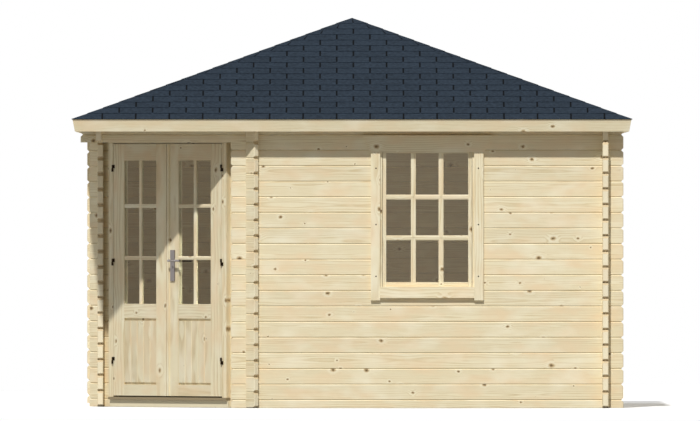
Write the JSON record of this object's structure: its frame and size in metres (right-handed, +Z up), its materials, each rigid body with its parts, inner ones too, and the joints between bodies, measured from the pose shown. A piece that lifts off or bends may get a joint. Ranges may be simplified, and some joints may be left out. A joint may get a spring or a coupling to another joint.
{
  "type": "log summerhouse",
  "caption": "Corner summerhouse of notched spruce logs with a pyramid roof in dark shingles, a glazed double door across a cut-off corner and a barred window beside it",
  "frame": {"origin": "on the ground under the roof's peak, the centre of the square plan", "axes": "+X to the right seen from the window side, +Y to the back, +Z up; the door wall faces -X-Y"},
  "size_m": [4.094, 4.094, 2.8707],
  "materials": {
    "spruce": "planed untreated spruce, matt",
    "sill_wood": "grey-brown oiled hardwood, matt",
    "window_glass": "clear single glazing",
    "bitumen_shingle": "slate blue mineral granules, rough",
    "dark_steel": "dark brown, satin",
    "handle_metal": "brushed, grey"
  },
  "bodies": {
    "cabin": {"front_wall": "spruce", "back_wall": "spruce", "left_wall": "spruce", "right_wall": "spruce", "door_wall_left": "spruce", "door_wall_right": "spruce", "door_wall_gable": "spruce", "door_base_log": "spruce", "floor_bearers": "spruce", "floor_deck": "spruce", "door_jamb_left": "spruce", "door_jamb_right": "spruce", "door_head": "spruce", "door_sill": "sill_wood", "frame_hinges": "dark_steel", "front_window_lining": "spruce", "front_window_casing": "spruce", "front_window_sash": "spruce", "front_window_glass": "window_glass", "left_window_lining": "spruce", "left_window_casing": "spruce", "left_window_sash": "spruce", "left_window_glass": "window_glass", "roof_boards_front": "spruce", "roof_boards_right": "spruce", "roof_boards_back": "spruce", "roof_boards_left": "spruce", "shingles_front": "bitumen_shingle", "shingles_right": "bitumen_shingle", "shingles_back": "bitumen_shingle", "shingles_left": "bitumen_shingle", "fascia_front": "spruce", "fascia_right": "spruce", "fascia_back": "spruce", "fascia_left": "spruce", "hip_rafters": "spruce", "common_rafters": "spruce", "rafter_hub": "spruce"},
    "left_door": {"left_leaf": "spruce", "left_leaf_panel": "spruce", "left_leaf_glass": "window_glass", "left_leaf_hinges": "dark_steel"},
    "right_door": {"right_leaf": "spruce", "right_leaf_panel": "spruce", "right_leaf_glass": "window_glass", "right_leaf_hinges": "dark_steel", "handle_plates": "handle_metal"},
    "lever": {"door_lever": "handle_metal"}
  },
  "joints": [
    {"name": "left_door_hinge", "type": "hinge", "parent": "cabin", "child": "left_door", "pos_m": [-1.75978, -0.95651, 0], "axis": [0, 0, -1], "range_deg": [0, 150]},
    {"name": "right_door_hinge", "type": "hinge", "parent": "cabin", "child": "right_door", "pos_m": [-0.95651, -1.75978, 0], "axis": [0, 0, 1], "range_deg": [0, 150]},
    {"name": "lever_pivot", "type": "hinge", "parent": "right_door", "child": "lever", "pos_m": [-1.31112, -1.39527, 1.073], "axis": [0.7071, 0.7071, 0], "range_deg": [0, 40], "stiffness_Nm_per_rad": 3, "springref_deg": -20.05}
  ]
}
